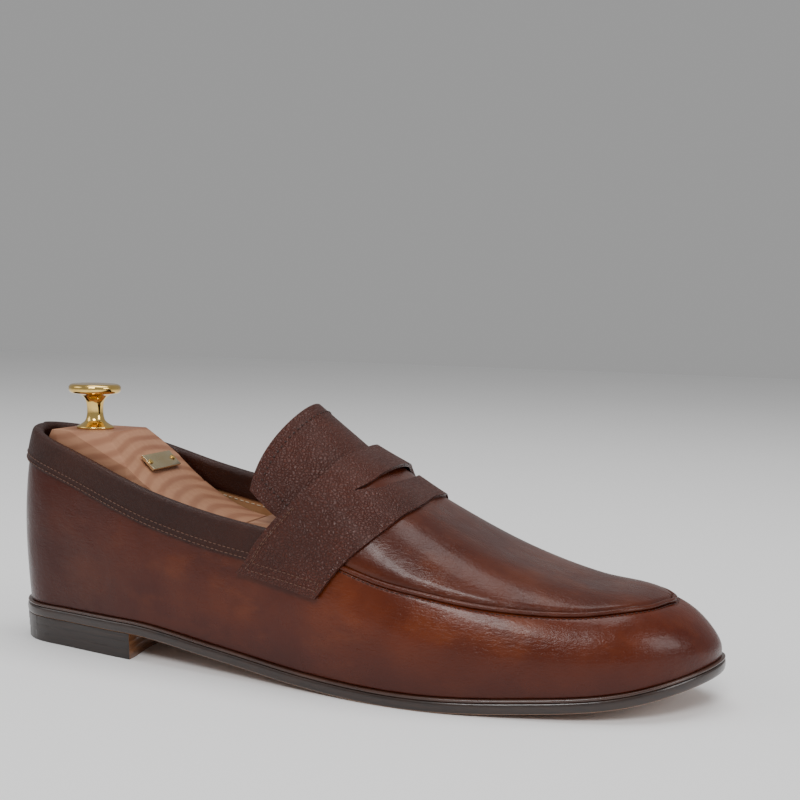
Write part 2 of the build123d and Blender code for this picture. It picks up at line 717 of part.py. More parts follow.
if __name__ == "__main__":
    os.makedirs("parts", exist_ok=True)
    made = build()
    boxes = [shape.bounding_box() for shape in made.values()]
    middle_x = (min(b.min.X for b in boxes) + max(b.max.X for b in boxes)) / 2
    middle_y = (min(b.min.Y for b in boxes) + max(b.max.Y for b in boxes)) / 2
    print("middle", middle_x, middle_y)
    for name, shape in made.items():
        export_step(shape.translate(Vector(-middle_x, -middle_y, 0)), f"parts/{name}.step")
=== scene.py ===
import math

import bmesh
import bpy
import numpy as np
from mathutils import Matrix, Vector


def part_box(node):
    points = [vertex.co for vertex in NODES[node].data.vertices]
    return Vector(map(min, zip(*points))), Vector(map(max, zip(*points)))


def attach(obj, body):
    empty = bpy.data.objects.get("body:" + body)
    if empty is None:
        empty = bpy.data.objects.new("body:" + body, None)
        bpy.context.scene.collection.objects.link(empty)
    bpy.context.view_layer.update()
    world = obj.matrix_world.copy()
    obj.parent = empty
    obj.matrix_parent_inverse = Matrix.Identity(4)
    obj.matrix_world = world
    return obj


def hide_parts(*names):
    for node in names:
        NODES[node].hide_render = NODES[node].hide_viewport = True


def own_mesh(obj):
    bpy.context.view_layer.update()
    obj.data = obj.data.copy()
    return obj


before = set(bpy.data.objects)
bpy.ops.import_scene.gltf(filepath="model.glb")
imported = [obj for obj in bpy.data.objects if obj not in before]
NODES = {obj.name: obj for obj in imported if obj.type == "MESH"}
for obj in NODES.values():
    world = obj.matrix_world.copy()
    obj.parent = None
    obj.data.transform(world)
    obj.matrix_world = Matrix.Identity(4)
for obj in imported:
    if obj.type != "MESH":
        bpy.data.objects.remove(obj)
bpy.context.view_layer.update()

# ---- the shape of the shoe, in millimetres from the back of the heel (the same tables as the CAD) ---
# OUTLINE goes round the sole; the other tables give a value against x, and SEAM against the way
# back from the tip along the outline
OUTLINE = [(0, 0), (10, -20), (28, -26), (60, -33), (110, -40), (155, -47.5), (200, -51.5),
           (245, -43.5), (282, -27.5), (302, 9.5), (286, 31), (255, 45.5), (215, 53), (165, 40),
           (120, 27), (80, 30), (45, 32.5), (20, 25)]
UNDERSIDE = ([60, 66, 110, 150, 190, 230, 270, 304], [11.0, 11.0, 6.1, 1.6, 0.0, 1.6, 5.6, 14.2])
RIDGE = ([0, 60, 110, 150, 185, 220, 250, 275, 290, 310],
         [99, 102, 99, 92.5, 70, 52.5, 44, 41.5, 37, 22])
CENTRE = ([0, 100, 200, 300], [0, 1, 3, 9.6])
ARCH = ([0, 60, 110, 150, 190, 240, 302], [0.18, 0.21, 0.40, 0.58, 0.58, 0.50, 0.45])
CROWN = ([0, 200, 250, 302], [0.81, 0.81, 0.66, 0.62])
BULGE = ([0, 70, 160, 302], [0.06, 0.04, 0.04, 0.0])
TOPLINE = ([0, 40, 80, 120, 150, 175], [93, 81, 68.5, 61, 59, 58])
MEDIAL_RISE = ([0, 40, 110, 150], [0, 4, 8, 8])
SEAM = ([0, 0.03, 0.055, 0.09, 0.12, 0.17, 0.23, 0.27],
        [0.985, 0.968, 0.92, 0.857, 0.79, 0.68, 0.572, 0.56])
# the upper's ridge runs under the outline, drawn in lengthwise about SPINE_FOCUS
SPINE_FOCUS = 130.0
SPINE_RATIO = 0.76
UPPER_INSET = 1.6
SOLE_T = 5.8
OUTSOLE_T = 4.4
RAND_T = 1.25
STRAP_REAR = [(119.5, 43.4), (123.2, 47.6), (126.0, 53.0), (130.5, 59.5), (140.5, 71.0), (149.5, 80.2),
              (154.5, 87.0)]
STRAP_REAR_TOP_X = 156.5
STRAP_FRONT = [(155.2, 37.4), (161.6, 46.5), (166.6, 52.6), (171.7, 57.5), (177.2, 62.6), (182.5, 68.0)]
STRAP_FRONT_TOP_X = 184.0


def smooth(table, x):
    """Smooth curve through a table of stations and values."""
    xs = np.asarray(table[0], float)
    ys = np.asarray(table[1], float)
    x = np.clip(np.asarray(x, float), xs[0], xs[-1])
    w = np.diff(xs)
    d = np.diff(ys) / w
    m = np.concatenate([[d[0]], (d[:-1] * w[1:] + d[1:] * w[:-1]) / (w[1:] + w[:-1]), [d[-1]]])
    i = np.clip(np.searchsorted(xs, x, side="right") - 1, 0, len(xs) - 2)
    s = (x - xs[i]) / w[i]
    return ((1 + 2 * s) * (1 - s) ** 2 * ys[i] + s * (1 - s) ** 2 * w[i] * m[i]
            + s * s * (3 - 2 * s) * ys[i + 1] + s * s * (s - 1) * w[i] * m[i + 1])


def closed_curve(points):
    """Closed cubic spline through points; the result maps t in 0..1 to a place on it."""
    p = np.asarray(points, float)
    n = len(p)
    chord = np.linalg.norm(np.roll(p, -1, 0) - p, axis=1) ** 0.75
    knots = np.concatenate([[0], np.cumsum(chord)])
    left = np.zeros((n, n))
    right = np.zeros_like(p)
    for i in range(n):
        a = chord[i - 1]
        b = chord[i]
        j = (i + 1) % n
        left[i, i - 1] += b
        left[i, i] += 2 * (a + b)
        left[i, j] += a
        right[i] = 3 * (b * (p[i] - p[i - 1]) / a + a * (p[j] - p[i]) / b)
    m = np.linalg.solve(left, right)

    def at(t):
        u = (np.asarray(t, float) % 1.0) * knots[-1]
        i = np.clip(np.searchsorted(knots, u, side="right") - 1, 0, n - 1)
        j = (i + 1) % n
        w = chord[i][..., None]
        s = (u - knots[i])[..., None] / w
        return ((1 + 2 * s) * (1 - s) ** 2 * p[i] + s * (1 - s) ** 2 * w * m[i]
                + s * s * (3 - 2 * s) * p[j] + s * s * (s - 1) * w * m[j])

    return at


sole_edge = closed_curve(OUTLINE)


def edge_inset(t, inset):
    """The sole edge moved inward, in plan."""
    t = np.asarray(t, float)
    d = sole_edge(t + 1e-4) - sole_edge(t - 1e-4)
    d = d / np.linalg.norm(d, axis=-1, keepdims=True)
    return sole_edge(t) + np.stack([-d[..., 1], d[..., 0]], -1) * inset


def spine_of(foot_x):
    x = SPINE_FOCUS + (foot_x - SPINE_FOCUS) * SPINE_RATIO
    return np.stack([x, smooth(CENTRE, x)], -1)


def dome(t, h):
    """Outer face of the upper: t runs round the sole edge, h from the sole (0) to the ridge (1)."""
    t, h = np.broadcast_arrays(np.asarray(t, float), np.asarray(h, float))
    foot = edge_inset(t, UPPER_INSET)
    spine = spine_of(foot[..., 0])
    sine = np.clip(h, 0, 1) ** (1 / smooth(CROWN, foot[..., 0]))
    reach = np.sqrt(np.clip(1 - sine ** 2, 0, 1)) ** smooth(ARCH, foot[..., 0])
    reach = reach * (1 + smooth(BULGE, foot[..., 0]) * np.sin(np.pi * np.clip(h, 0, 1)))
    xy = spine + (foot - spine) * reach[..., None]
    low = smooth(UNDERSIDE, xy[..., 0]) + SOLE_T
    z = low + (smooth(RIDGE, xy[..., 0]) - low) * h
    return np.concatenate([xy, z[..., None]], -1)


def unit(v):
    return v / np.maximum(np.linalg.norm(v, axis=-1, keepdims=True), 1e-12)


def wall_frame(t, h):
    """Place on the outer face, its outward normal and the direction up the wall."""
    step = 2e-3
    h = np.clip(h, step, 0.999 - step)
    up = dome(t, h + step) - dome(t, h - step)
    along = dome(t + step, h) - dome(t - step, h)
    normal = unit(np.cross(along, up))
    return dome(t, h), normal, unit(up)


def rim_h(t):
    """Height fraction of the wall's top edge: the topline behind, the apron seam in front."""
    t = t % 1.0
    from_heel = min(t, 1 - t)
    seam = float(smooth(SEAM, 0.5 - from_heel))
    if from_heel > 0.26:
        return seam
    hs = np.linspace(0.2, 0.998, 300)
    wall = dome(t, hs)
    top = smooth(TOPLINE, wall[:, 0])
    if t > 0.5:
        top = top + smooth(MEDIAL_RISE, wall[:, 0])
    gap = wall[:, 2] - top
    j = max(int(np.argmax(gap > 0)), 1)
    topline = float(np.interp(0, gap[j - 1:j + 1], hs[j - 1:j + 1]))
    b = min(max((from_heel - 0.20) / 0.06, 0), 1)
    b = b * b * (3 - 2 * b)
    return topline * (1 - b) + seam * b


def h_below(t, h, distance):
    """Height fraction of the point that lies a distance down the wall from h."""
    hs = np.linspace(0, h, 160)
    wall = dome(t, hs)
    run = np.concatenate([[0], np.cumsum(np.linalg.norm(np.diff(wall, axis=0), axis=1))])
    return float(np.interp(run[-1] - distance, run, hs))


def below_rim(t, down, out):
    """Point a distance down the wall from its top edge and out from its face, in mm."""
    top = rim_h(t)
    p, n, up = wall_frame(t, h_below(t, top, max(down, 0.0)))
    return p + n * out - up * min(down, 0.0), n


# ---- mesh helpers ---------------------------------------------------------------------------------
origin_x = float(edge_inset(np.linspace(0, 1, 2000), 0.0)[:, 0].min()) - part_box("outsole")[0].x * 1000
origin_y = float(edge_inset(np.linspace(0, 1, 2000), 0.0)[:, 1].min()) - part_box("outsole")[0].y * 1000
SHIFT = np.array([origin_x, origin_y, 0.0])


def make(name, points, faces, material, body="root"):
    """Smooth mesh object from points in millimetres, riding on a body."""
    mesh = bpy.data.meshes.new(name)
    mesh.from_pydata(((np.asarray(points, float).reshape(-1, 3) - SHIFT) / 1000).tolist(), [], faces)
    bm = bmesh.new()
    bm.from_mesh(mesh)
    bmesh.ops.remove_doubles(bm, verts=bm.verts, dist=1e-5)
    bmesh.ops.dissolve_degenerate(bm, edges=bm.edges, dist=1e-6)
    bm.to_mesh(mesh)
    bm.free()
    mesh.materials.append(material)
    obj = bpy.data.objects.new(name, mesh)
    bpy.context.scene.collection.objects.link(obj)
    mesh.shade_smooth()
    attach(obj, body)
    return obj


def grid_faces(nu, nv, start=0, close_u=False, close_v=False):
    faces = []
    for i in range(nu if close_u else nu - 1):
        for j in range(nv if close_v else nv - 1):
            a = start + i * nv + j
            b = start + i * nv + (j + 1) % nv
            c = start + ((i + 1) % nu) * nv + (j + 1) % nv
            d = start + ((i + 1) % nu) * nv + j
            faces.append((a, d, c, b))
    return faces


def thicken(obj, thickness, offset=-1.0, bevel=0.35):
    """Gives a sheet its thickness, with rounded cut edges."""
    solid = obj.modifiers.new("thickness", "SOLIDIFY")
    solid.thickness = thickness / 1000
    solid.offset = offset
    solid.use_even_offset = False
    if bevel:
        edge = obj.modifiers.new("edges", "BEVEL")
        edge.width = bevel / 1000
        edge.segments = 3
        edge.limit_method = "ANGLE"
        edge.angle_limit = math.radians(50)
    return obj


def sheet_from_grid(name, grid, material, thickness, offset=-1.0, bevel=0.35, close_u=False, body="root"):
    nu, nv = grid.shape[:2]
    obj = make(name, grid, grid_faces(nu, nv, close_u=close_u), material, body)
    return thicken(obj, thickness, offset, bevel)


def grid_normals(grid):
    du = np.gradient(grid, axis=0)
    dv = np.gradient(grid, axis=1)
    return unit(np.cross(du, dv))


def tube(name, path, radius, material, sides=10, body="root"):
    """Round cord along a path of points."""
    path = np.asarray(path)
    tangent = unit(np.gradient(path, axis=0))
    side = unit(np.cross(tangent, np.array([0, 0, 1.0])))
    up = np.cross(side, tangent)
    a = np.linspace(0, 2 * math.pi, sides, endpoint=False)
    ring = path[:, None, :] + radius * (np.cos(a)[None, :, None] * side[:, None, :]
                                        + np.sin(a)[None, :, None] * up[:, None, :])
    faces = grid_faces(len(path), sides, close_v=True)
    faces.append(tuple(range(sides)))
    faces.append(tuple(reversed(range((len(path) - 1) * sides, len(path) * sides))))
    return make(name, ring, faces, material, body)


def stitches(name, path, normals, length, pitch, radius, material, body="root"):
    """Row of short threads that lie along a path."""
    path = np.asarray(path)
    normals = np.asarray(normals)
    run = np.concatenate([[0], np.cumsum(np.linalg.norm(np.diff(path, axis=0), axis=1))])
    points = []
    faces = []
    sides = 6
    along = [-0.5, -0.44, -0.2, 0.2, 0.44, 0.5]
    girth = [0.25, 0.8, 1.0, 1.0, 0.8, 0.25]
    for k in range(int(run[-1] / pitch)):
        s = (k + 0.5) * pitch
        p = np.array([np.interp(s, run, path[:, i]) for i in range(3)])
        ahead = np.array([np.interp(s + 0.4, run, path[:, i]) for i in range(3)])
        back = np.array([np.interp(s - 0.4, run, path[:, i]) for i in range(3)])
        n = unit(np.array([np.interp(s, run, normals[:, i]) for i in range(3)]))
        d = unit(ahead - back)
        side = unit(np.cross(d, n))
        start = len(points)
        for f, g in zip(along, girth):
            for a in range(sides):
                angle = 2 * math.pi * a / sides
                sink = (0.5 - abs(f)) * radius * 1.2
                points.append(p + d * f * length + n * (sink + math.sin(angle) * radius * g)
                              + side * math.cos(angle) * radius * g)
        faces += grid_faces(len(along), sides, start=start, close_v=True)
        faces.append(tuple(range(start, start + sides)))
        faces.append(tuple(reversed(range(start + (len(along) - 1) * sides, start + len(along) * sides))))
    return make(name, points, faces, material, body)


# ---- materials ------------------------------------------------------------------------------------
class Graph:
    """Short way to write a node material."""

    def __init__(self, name, **values):
        self.material = bpy.data.materials.new(name)
        self.material.use_nodes = True
        self.nodes = self.material.node_tree.nodes
        self.links = self.material.node_tree.links
        self.shader = self.nodes["Principled BSDF"]
        for key, value in values.items():
            self.shader.inputs[key.replace("_", " ")].default_value = value
        self.place = self.add("ShaderNodeTexCoord").outputs["Object"]

    def add(self, kind, inputs=None, **settings):
        node = self.nodes.new(kind)
        for key, value in settings.items():
            setattr(node, key, value)
        for key, value in (inputs or {}).items():
            if isinstance(value, bpy.types.NodeSocket):
                self.links.new(value, node.inputs[key])
            else:
                node.inputs[key].default_value = value
        return node

    def noise(self, scale, detail=3.0, rough=0.5, stretch=None, distortion=0.0):
        place = self.place
        if stretch:
            place = self.add("ShaderNodeMapping", {"Vector": place, "Scale": stretch}).outputs[0]
        return self.add("ShaderNodeTexNoise", {"Vector": place, "Scale": scale, "Detail": detail,
                                               "Roughness": rough, "Distortion": distortion}).outputs[0]

    def ramp(self, value, stops):
        node = self.add("ShaderNodeValToRGB", {"Fac": value})
        elements = node.color_ramp.elements
        while len(elements) < len(stops):
            elements.new(0.5)
        for element, (place, colour) in zip(elements, stops):
            element.position = place
            element.color = (*colour, 1) if isinstance(colour, tuple) else (colour, colour, colour, 1)
        return node.outputs[0]

    def mix(self, factor, a, b, blend="MIX"):
        node = self.add("ShaderNodeMix", data_type="RGBA", blend_type=blend)
        for key, value in ((0, factor), (6, a), (7, b)):
            if isinstance(value, bpy.types.NodeSocket):
                self.links.new(value, node.inputs[key])
            elif key == 0:
                node.inputs[key].default_value = value
            else:
                node.inputs[key].default_value = (*value, 1)
        return node.outputs[2]

    def math(self, operation, a, b=0.0):
        node = self.add("ShaderNodeMath", operation=operation)
        for key, value in ((0, a), (1, b)):
            if isinstance(value, bpy.types.NodeSocket):
                self.links.new(value, node.inputs[key])
            else:
                node.inputs[key].default_value = value
        return node.outputs[0]

    def axis(self, which):
        return self.add("ShaderNodeSeparateXYZ", {"Vector": self.place}).outputs[which]

    def colour(self, socket):
        self.links.new(socket, self.shader.inputs["Base Color"])

    def rough(self, socket):
        self.links.new(socket, self.shader.inputs["Roughness"])

    def bump(self, heights, strength=1.0):
        """Adds up (socket, depth in metres) pairs."""
        normal = None
        for socket, depth in heights:
            node = self.add("ShaderNodeBump", {"Height": socket, "Strength": strength, "Distance": depth})
            if normal is not None:
                self.links.new(normal, node.inputs["Normal"])
            normal = node.outputs[0]
        self.links.new(normal, self.shader.inputs["Normal"])


# these turn metres along the shoe and up it into fractions, for the painted shade at the heel and low on
# the wall by the sole, and the darkening at the toe tip
PER_LENGTH = 3.31
PER_HEIGHT = 10.0


def calf(name, mid, dark, light, pebble=0.0):
    """Smooth polished calf, with painted shade at the heel and low on the wall by the sole, and darker
    towards the toe tip.
    """
    g = Graph(name, Roughness=0.3, Coat_Weight=0.14, Coat_Roughness=0.12, Specular_IOR_Level=0.26)
    cloud = g.noise(26, 4, 0.55)
    body = g.mix(g.ramp(cloud, [(0.35, 0.0), (0.68, 1.0)]), dark, mid)
    streak = g.noise(60, 5, 0.6, stretch=(0.7, 1, 1.3))
    body = g.mix(g.ramp(streak, [(0.5, 0.0), (0.8, 0.6)]), body, light)
    x_place = g.math("ADD", g.math("MULTIPLY", g.axis(0), PER_LENGTH), 0.5)
    # painted shade: darker over the back half of the shoe and strongest at the heel, standing in for the
    # shade that falls there
    heel = g.ramp(x_place, [(0.0, 0.95), (0.22, 0.45), (0.50, 0.0)])
    body = g.mix(heel, body, (dark[0] * 0.62, dark[1] * 0.45, dark[2] * 0.45))
    toe = g.ramp(x_place, [(0.86, 0.0), (1.0, 0.45)])
    body = g.mix(toe, body, (dark[0] * 0.9, dark[1] * 0.7, dark[2] * 0.7))
    # painted shade: darker low on the wall, next to the sole, where shade falls between the upper and the
    # sole
    low = g.ramp(g.math("MULTIPLY", g.axis(2), PER_HEIGHT), [(0.10, 0.7), (0.30, 0.0)])
    body = g.mix(low, body, (dark[0] * 0.7, dark[1] * 0.5, dark[2] * 0.5))
    g.colour(body)
    g.rough(g.ramp(g.noise(90, 4), [(0.3, 0.25), (0.75, 0.36)]))
    pores = g.noise(1500, 3)
    wrinkle = g.noise(620, 3, 0.6, stretch=(0.6, 1, 1.6), distortion=0.6)
    flex = g.ramp(g.noise(18, 2), [(0.42, 0.15), (0.62, 1.0)])
    wrinkle = g.math("MULTIPLY", wrinkle, flex)
    heights = [(wrinkle, 0.00030 + pebble), (pores, 0.00008), (g.noise(55, 3), 0.0010)]
    g.bump(heights, 0.7)
    return g.material


# how far the pebbles of the grained leather stray from a plain cell pattern, in metres
CELL_WARP = 0.0016


def grain(name, mid, dark, light, scale=760, depth=0.00042, roughness=0.33):
    """Pebbled leather, with painted highlight on the pebble tops and painted shade in the cracks between
    them.
    """
    g = Graph(name, Roughness=roughness, Coat_Weight=0.04, Coat_Roughness=0.22, Specular_IOR_Level=0.32)
    warp = g.add("ShaderNodeTexNoise", {"Vector": g.place, "Scale": scale * 0.5, "Detail": 2.0})
    offset = g.add("ShaderNodeVectorMath", {0: warp.outputs["Color"], 1: (CELL_WARP,) * 3},
                   operation="MULTIPLY").outputs[0]
    moved = g.add("ShaderNodeVectorMath", {0: g.place, 1: offset}, operation="ADD").outputs[0]
    cells = g.add("ShaderNodeTexVoronoi", {"Vector": moved, "Scale": scale},
                  feature="DISTANCE_TO_EDGE").outputs["Distance"]
    plateau = g.ramp(cells, [(0.0, 0.0), (0.12, 0.6), (0.35, 1.0)])
    body = g.mix(g.ramp(g.noise(40, 4), [(0.3, 0.0), (0.7, 1.0)]), dark, mid)
    # painted highlight: lighter towards the middle of each pebble
    body = g.mix(g.ramp(cells, [(0.15, 0.0), (0.6, 0.35)]), body, light)
    # painted shade: darker in the cracks between the pebbles
    painted_crack_shade = tuple(0.6 * channel for channel in dark)
    body = g.mix(g.ramp(cells, [(0.0, 0.5), (0.07, 0.0)]), body, painted_crack_shade)
    g.colour(body)
    g.rough(g.ramp(cells, [(0.0, roughness + 0.25), (0.2, roughness)]))
    g.bump([(plateau, depth), (g.noise(scale * 3, 3), 0.0001), (g.noise(110, 3), 0.0006)], 0.9)
    return g.material


def plain_leather(name, mid, dark, roughness=0.6, coat=0.0, depth=0.0001):
    g = Graph(name, Roughness=roughness, Coat_Weight=coat, Coat_Roughness=0.2)
    g.colour(g.mix(g.ramp(g.noise(70, 5, 0.6), [(0.3, 0.0), (0.7, 1.0)]), dark, mid))
    g.rough(g.ramp(g.noise(160, 3), [(0.2, roughness - 0.08), (0.8, roughness + 0.1)]))
    g.bump([(g.noise(900, 4), depth), (g.noise(120, 2), depth * 3)], 0.7)
    return g.material


def sole_edge_material():
    g = Graph("sole_edge_leather", Roughness=0.3, Coat_Weight=0.4, Coat_Roughness=0.15)
    base = g.mix(g.ramp(g.noise(140, 4, stretch=(1, 1, 6)), [(0.3, 0.0), (0.7, 1.0)]),
                 (0.010, 0.0035, 0.0018), (0.026, 0.0095, 0.0045))
    facing = g.add("ShaderNodeNewGeometry").outputs["Normal"]
    down = g.add("ShaderNodeSeparateXYZ", {"Vector": facing}).outputs[2]
    under = g.ramp(g.math("MULTIPLY", down, -1.0), [(0.45, 0.0), (0.75, 1.0)])
    tan = g.mix(g.ramp(g.noise(50, 4), [(0.3, 0.0), (0.7, 1.0)]), (0.20, 0.085, 0.036), (0.30, 0.15, 0.07))
    g.colour(g.mix(under, base, tan))
    g.bump([(g.noise(700, 3, stretch=(1, 1, 4)), 0.00012)], 0.6)
    return g.material


def heel_material():
    g = Graph("heel_leather", Roughness=0.34, Coat_Weight=0.25, Coat_Roughness=0.2)
    lines = g.noise(200, 3, stretch=(0.4, 0.4, 9))
    base = g.mix(g.ramp(lines, [(0.35, 0.0), (0.7, 1.0)]), (0.008, 0.0032, 0.0018), (0.020, 0.008, 0.0045))
    facing = g.add("ShaderNodeNewGeometry").outputs["Normal"]
    front = g.add("ShaderNodeSeparateXYZ", {"Vector": facing}).outputs[0]
    breast = g.ramp(front, [(0.9, 0.0), (0.96, 1.0)])
    wood = g.mix(g.ramp(lines, [(0.3, 0.0), (0.7, 1.0)]), (0.16, 0.06, 0.022), (0.27, 0.12, 0.05))
    g.colour(g.mix(breast, base, wood))
    g.bump([(lines, 0.0002)], 0.6)
    return g.material


def cedar():
    g = Graph("cedar", Roughness=0.55, Specular_IOR_Level=0.35)
    moved = g.add("ShaderNodeMapping", {"Vector": g.place, "Location": (0.0, 0.006, -0.035),
                                        "Rotation": (0.0, 0.22, 0.12)}).outputs[0]
    rings = g.add("ShaderNodeTexWave", {"Vector": moved, "Scale": 62.0, "Distortion": 4.5, "Detail": 3.0,
                                        "Detail Scale": 0.35}, wave_type="RINGS",
                  rings_direction="X").outputs["Fac"]
    fibre = g.noise(420, 4, stretch=(0.08, 1, 1))
    base = g.mix(g.ramp(rings, [(0.25, 0.0), (0.9, 1.0)]), (0.38, 0.185, 0.105), (0.25, 0.102, 0.055))
    base = g.mix(g.ramp(fibre, [(0.4, 0.0), (0.75, 0.35)]), base, (0.26, 0.12, 0.07))
    base = g.mix(g.ramp(g.noise(24, 3), [(0.35, 0.0), (0.7, 0.45)]), base, (0.44, 0.225, 0.125))
    g.colour(base)
    g.rough(g.ramp(fibre, [(0.3, 0.5), (0.7, 0.68)]))
    g.bump([(fibre, 0.00008), (rings, 0.00004)], 0.5)
    return g.material


def brass(name, tint, roughness):
    g = Graph(name, Metallic=1.0, Roughness=roughness)
    tone = g.ramp(g.noise(120, 3), [(0.3, 0.0), (0.8, 1.0)])
    g.colour(g.mix(tone, tint, (tint[0] * 0.82, tint[1] * 0.74, tint[2] * 0.6)))
    g.rough(g.ramp(g.noise(240, 4), [(0.3, roughness - 0.05), (0.8, roughness + 0.08)]))
    g.bump([(g.noise(900, 2), 0.00002)], 0.3)
    return g.material


def steel():
    g = Graph("spring_steel", Metallic=1.0, Roughness=0.3)
    g.colour(g.mix(g.noise(300, 3), (0.5, 0.5, 0.5), (0.62, 0.62, 0.63)))
    g.bump([(g.noise(1200, 2), 0.00002)], 0.3)
    return g.material


def thread(name, light, dark):
    g = Graph(name, Roughness=0.6)
    g.colour(g.mix(g.noise(1800, 2), dark, light))
    g.bump([(g.noise(3000, 2), 0.00005)], 0.6)
    return g.material


CALF = calf("calf_leather", (0.112, 0.0185, 0.0032), (0.052, 0.0062, 0.0011), (0.180, 0.040, 0.0085))
DARK_CALF = grain("calf_leather_dark", (0.034, 0.0056, 0.0010), (0.020, 0.0030, 0.0006),
                  (0.048, 0.0090, 0.0020), scale=900, depth=0.00012, roughness=0.36)
GRAIN = grain("grain_leather", (0.070, 0.0135, 0.0055), (0.044, 0.0075, 0.0028),
              (0.092, 0.0210, 0.0095))
APRON_CALF = calf("apron_leather", (0.084, 0.0150, 0.0038), (0.046, 0.0066, 0.0016),
                  (0.122, 0.0280, 0.0080), pebble=0.0002)
LINING = plain_leather("lining_leather", (0.42, 0.215, 0.10), (0.33, 0.155, 0.065), 0.55)
SOLE_EDGE = sole_edge_material()
RAND = plain_leather("rand_leather", (0.055, 0.019, 0.010), (0.028, 0.009, 0.005), 0.3, 0.4)
HEEL = heel_material()
CEDAR = cedar()
BRASS = brass("polished_brass", (0.86, 0.60, 0.20), 0.13)
PLATE_BRASS = brass("plate_brass", (0.66, 0.56, 0.36), 0.30)
THREAD = thread("brown_thread", (0.150, 0.070, 0.045), (0.08, 0.033, 0.02))
DARK_THREAD = thread("dark_thread", (0.035, 0.012, 0.008), (0.02, 0.007, 0.005))
PALE_THREAD = thread("pale_thread", (0.70, 0.58, 0.42), (0.5, 0.4, 0.28))
STEEL = steel()
BOARD = plain_leather("insole_board", (0.32, 0.2, 0.11), (0.24, 0.14, 0.07), 0.8)

# ---- upper ----------------------------------------------------------------------------------------
ROUND = np.linspace(0, 1, 361)[:-1]
WALL_T = 1.2
LINING_T = 0.8
LINING_DEPTH = 2.2
LINING_DROP = 2.6
# how far the wall turns under beside the apron seam, and over what distance
SEAM_SINK = 1.0
SEAM_SINK_REACH = 1.1


def side_wall():
    """Wall of the upper all round, up to the topline behind and to the apron seam in front."""
    rows = []
    for t in ROUND:
        top = h_below(t, rim_h(t), 0.6)
        hs = np.linspace(0.0, top, 44)
        p, n, _ = wall_frame(t, hs)
        front = min(max((min(t, 1 - t) - 0.24) / 0.02, 0), 1)
        distance = np.linalg.norm(p - p[-1], axis=1)
        sink = front * SEAM_SINK * np.exp(-(distance / SEAM_SINK_REACH) ** 2)
        rows.append(p - n * sink[:, None])
    obj = sheet_from_grid("upper_wall", np.array(rows), CALF, WALL_T, close_u=True, bevel=0.3)
    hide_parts("side_wall")


def side_lining():
    """Lining inside the wall, with the row of pale stitches on the medial side of the mouth."""
    rows = []
    for t in ROUND[::2]:
        hs = np.linspace(0.02, h_below(t, rim_h(t), LINING_DROP), 30)
        p, n, _ = wall_frame(t, hs)
        rows.append(p - n * LINING_DEPTH)
    obj = sheet_from_grid("wall_lining", np.array(rows), LINING, LINING_T, close_u=True, bevel=0.2)
    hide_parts("side_lining")
    path = []
    normals = []
    for t in np.linspace(0.79, 0.995, 60):
        p, n = below_rim(t, 11.5, -3.05)
        path.append(p)
        normals.append(-n)
    row = stitches("lining_stitches", path, normals, 2.0, 3.0, 0.22, PALE_THREAD)


BINDING_TS = np.linspace(-0.235, 0.235, 190)
BINDING_OUT = 0.45
BINDING_IN = -3.15
BINDING_OUTSIDE = 12.0
BINDING_INSIDE = 9.5
BINDING_T = 0.8
BINDING_ROLL = 1.3


def top_binding():
    """Band folded over the topline: down the outside, over the edge and down the inside."""
    rows = []
    for t in BINDING_TS:
        section = []
        for down in (BINDING_OUTSIDE, 11.0, 9.5, 7.5, 5.0, 3.0, 1.5, 0.6):
            section.append(below_rim(t, down, BINDING_OUT)[0])
        top, n = below_rim(t, 0.0, 0.0)
        up = wall_frame(t, rim_h(t))[2]
        middle = (BINDING_OUT + BINDING_IN) / 2
        half = (BINDING_OUT - BINDING_IN) / 2
        for a in np.linspace(0, math.pi, 9):
            section.append(top + n * (middle + half * math.cos(a)) + up * BINDING_ROLL * math.sin(a))
        for down in (1.0, 3.0, 6.0, BINDING_INSIDE):
            section.append(below_rim(t, down, BINDING_IN)[0])
        rows.append(section)
    obj = sheet_from_grid("collar_binding", np.array(rows), DARK_CALF, BINDING_T, offset=1.0, bevel=0.25)
    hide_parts("top_binding")
    for k, down in enumerate((11.2, 9.0)):
        path = []
        normals = []
        for t in BINDING_TS[1:-1]:
            p, n = below_rim(t, down, BINDING_OUT + BINDING_T + 0.05)
            path.append(p)
            normals.append(n)
        row = stitches(f"binding_stitches_{k + 1}", path, normals, 1.5, 2.2, 0.2, THREAD)


def twin(t, low=0.5, high=1.0):
    """The place on the medial side that lies as far forward as t on the lateral side."""
    ts = np.linspace(low, high, 1200)
    xs = edge_inset(ts, UPPER_INSET)[:, 0]
    return float(np.interp(-float(edge_inset(t, UPPER_INSET)[0]), -xs, ts))


TIP_TS = np.linspace(0.45, 0.55, 2001)
T_TIP = float(TIP_TS[np.argmax(edge_inset(TIP_TS, UPPER_INSET)[:, 0])])
BACK_TS = np.linspace(-0.03, 0.03, 2001)
T_BACK = float(BACK_TS[np.argmin(edge_inset(BACK_TS, UPPER_INSET)[:, 0])])
SEAM_START = 0.262
APRON_T = 1.2
# the apron stands this much proud of the wall and turns down to it over this distance
APRON_LIFT = 1.0
APRON_TURN = 1.3
APRON_TURN_REACH = 0.9
SEAM_CORD_R = 0.95


